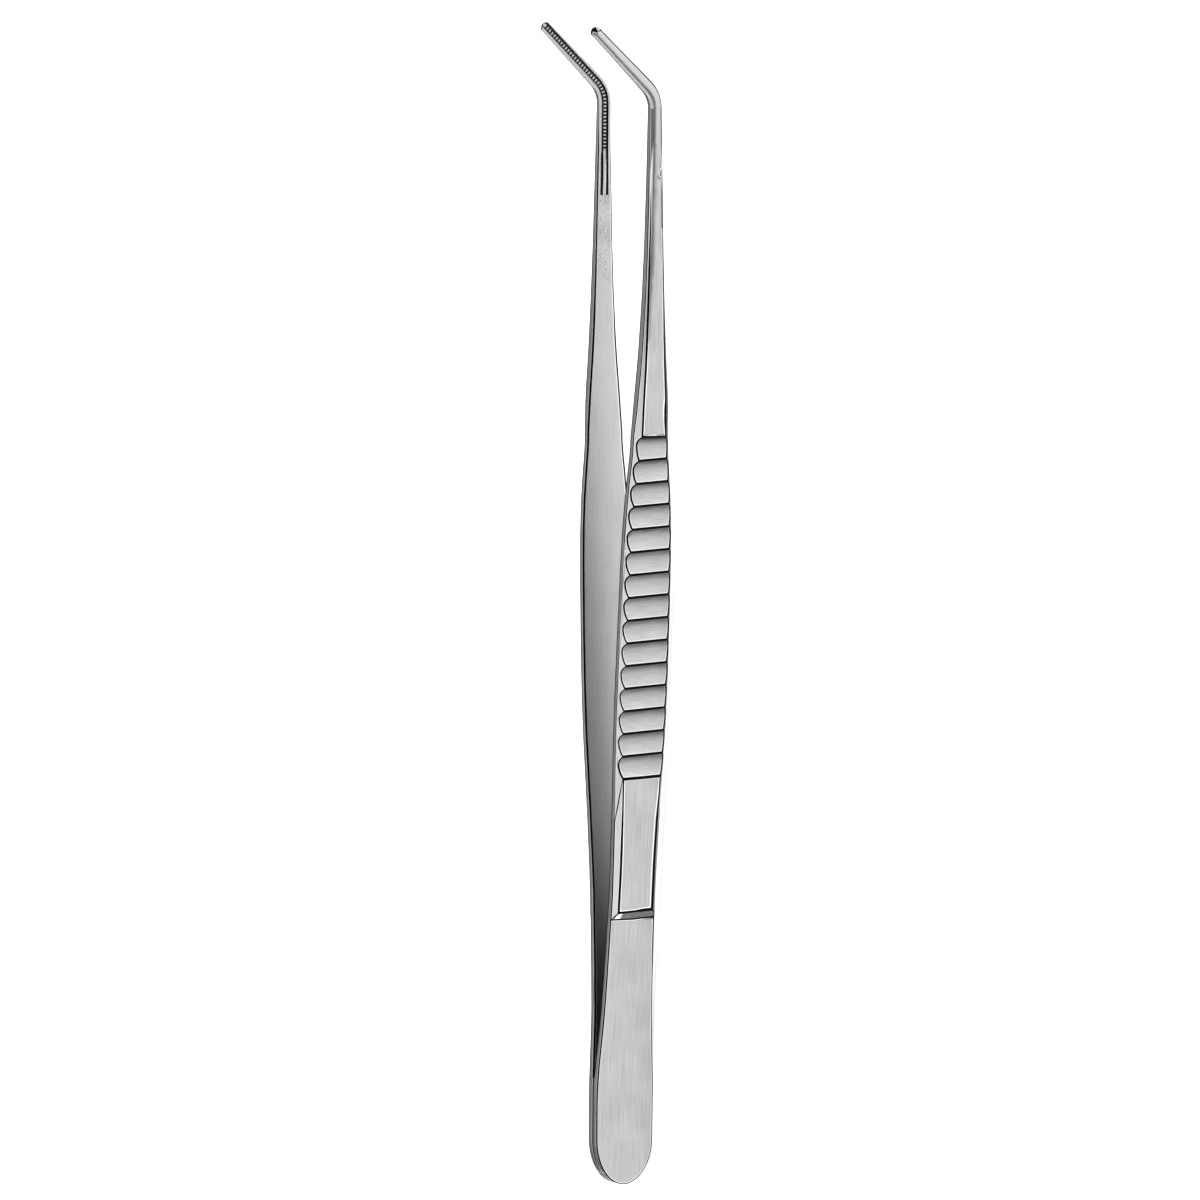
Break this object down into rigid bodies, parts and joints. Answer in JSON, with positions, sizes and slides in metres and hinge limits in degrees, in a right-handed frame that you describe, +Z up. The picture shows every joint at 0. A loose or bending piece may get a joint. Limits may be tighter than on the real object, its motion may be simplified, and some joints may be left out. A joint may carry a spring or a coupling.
{
  "type": "thumb forceps",
  "caption": "Angled tissue forceps: two sprung steel arms welded at the rear, with scalloped finger grips, slim shanks and bent, finely toothed jaws.",
  "frame": {"origin": "on the surface that the forceps lies on, under the centre of its bounding box", "axes": "+X from the welded rear end towards the jaws, +Y from the double-row arm to the single-row arm, which is the way the arms open, +Z up, the side that the jaws are bent to"},
  "size_m": [0.1996, 0.0216, 0.0176],
  "materials": {
    "satin_steel": "satin"
  },
  "bodies": {
    "root": {"single_row_arm": "satin_steel", "double_row_arm": "satin_steel"}
  },
  "joints": []
}
